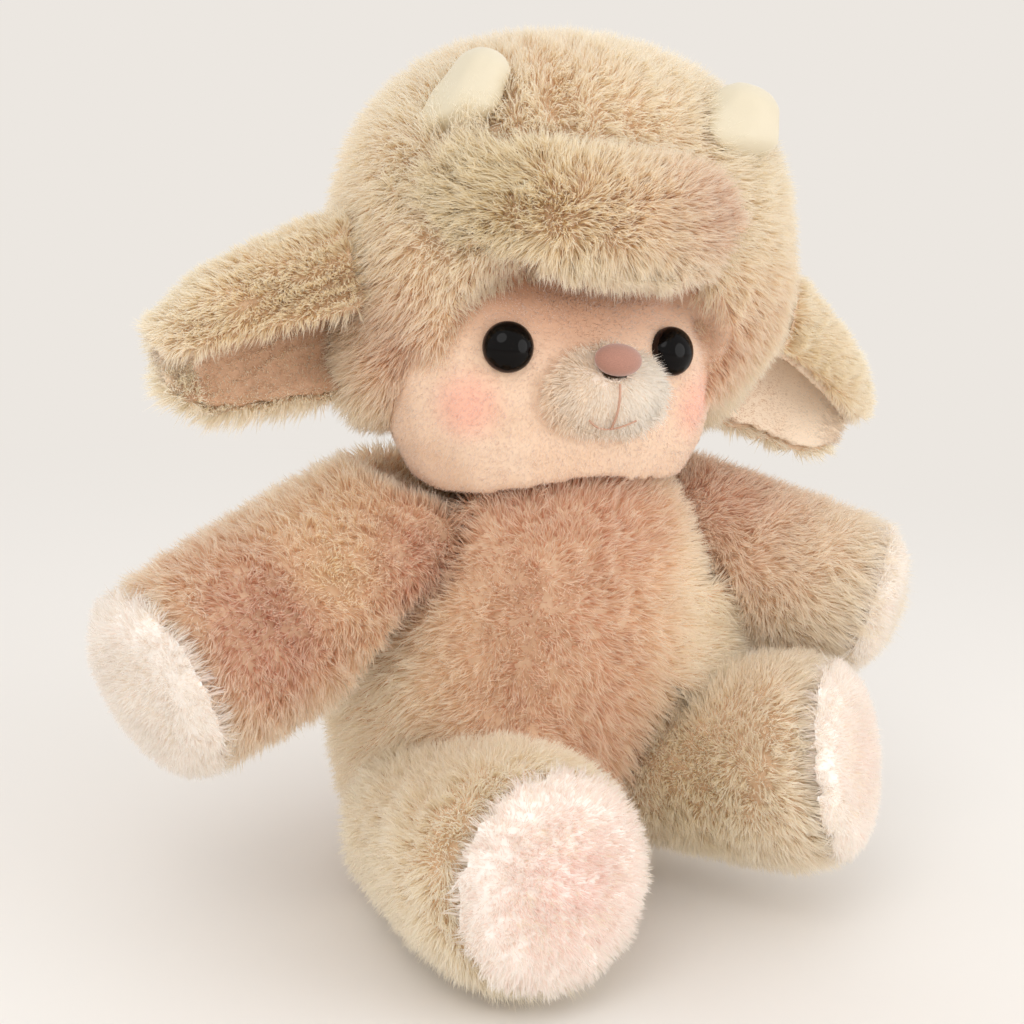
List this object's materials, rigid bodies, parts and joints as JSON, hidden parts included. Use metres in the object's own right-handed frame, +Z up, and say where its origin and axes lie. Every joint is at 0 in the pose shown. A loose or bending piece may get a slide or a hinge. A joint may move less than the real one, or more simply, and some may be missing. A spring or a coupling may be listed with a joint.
{
  "type": "plush calf",
  "caption": "Seated long-pile plush calf with a hooded head, padded brow roll, short horns, lop ears and stuffed limbs with padded ends, sewn together and posable at its seams.",
  "frame": {"origin": "on the floor, below the middle of the body", "axes": "+Z up, the toy faces -Y and its own right-hand side is at -X"},
  "size_m": [0.296, 0.1898, 0.291],
  "materials": {
    "long_pile": "long soft pile, darker at the roots and cream at the tips",
    "short_pile": "short brushed pile",
    "white_pile": "short fluffy pile",
    "lining_pile": "short brushed pile",
    "horn_cloth": "smooth brushed cloth",
    "black_gloss": "polished",
    "nose_flock": "flocked, matt",
    "thread": "twisted sewing thread",
    "stuffing": "loose polyester fibre",
    "washer_plastic": "moulded"
  },
  "bodies": {
    "torso": {"body_cover": "long_pile", "body_filling": "stuffing"},
    "head": {"hood_cover": "long_pile", "face_cover": "short_pile", "brow_cover": "long_pile", "brow_filling": "stuffing", "muzzle_cover": "white_pile", "muzzle_filling": "stuffing", "head_filling": "stuffing", "right_eye": "black_gloss", "right_eye_washer": "washer_plastic", "left_eye": "black_gloss", "left_eye_washer": "washer_plastic", "nose": "nose_flock", "nose_washer": "washer_plastic", "mouth_thread": "thread", "right_horn_cover": "horn_cloth", "right_horn_filling": "stuffing", "left_horn_cover": "horn_cloth", "left_horn_filling": "stuffing"},
    "right_arm": {"right_arm_cover": "long_pile", "right_arm_filling": "stuffing", "right_paw_pad": "white_pile"},
    "left_arm": {"left_arm_cover": "long_pile", "left_arm_filling": "stuffing", "left_paw_pad": "white_pile"},
    "right_leg": {"right_leg_cover": "long_pile", "right_leg_filling": "stuffing", "right_foot_pad": "white_pile"},
    "left_leg": {"left_leg_cover": "long_pile", "left_leg_filling": "stuffing", "left_foot_pad": "white_pile"},
    "right_ear": {"right_ear_back": "long_pile", "right_ear_lining": "lining_pile"},
    "left_ear": {"left_ear_back": "long_pile", "left_ear_lining": "lining_pile"}
  },
  "joints": [
    {"name": "neck", "type": "hinge", "parent": "torso", "child": "head", "pos_m": [0.002, 0, 0.164], "axis": [0, 0, 1], "range_deg": [-12, 12], "stiffness_Nm_per_rad": 0.5},
    {"name": "right_shoulder", "type": "hinge", "parent": "torso", "child": "right_arm", "pos_m": [-0.047, -0.006, 0.122], "axis": [0, 1, 0], "range_deg": [-15, 15], "stiffness_Nm_per_rad": 0.4, "springref_deg": 1.72},
    {"name": "left_shoulder", "type": "hinge", "parent": "torso", "child": "left_arm", "pos_m": [0.051, -0.006, 0.122], "axis": [0, -1, 0], "range_deg": [-3, 15], "stiffness_Nm_per_rad": 0.4, "springref_deg": 1.15},
    {"name": "right_hip", "type": "hinge", "parent": "torso", "child": "right_leg", "pos_m": [-0.046, -0.04, 0.03], "axis": [0, 0, 1], "range_deg": [-12, 4], "stiffness_Nm_per_rad": 0.5},
    {"name": "left_hip", "type": "hinge", "parent": "torso", "child": "left_leg", "pos_m": [0.043, -0.04, 0.044], "axis": [0, 0, 1], "range_deg": [-12, 2], "stiffness_Nm_per_rad": 0.5},
    {"name": "right_ear_root", "type": "hinge", "parent": "head", "child": "right_ear", "pos_m": [-0.0757, -0.016, 0.196], "axis": [0, 0, 1], "range_deg": [-15, 15], "stiffness_Nm_per_rad": 0.05},
    {"name": "left_ear_root", "type": "hinge", "parent": "head", "child": "left_ear", "pos_m": [0.0824, -0.016, 0.187], "axis": [0, 0, 1], "range_deg": [-15, 15], "stiffness_Nm_per_rad": 0.05}
  ]
}
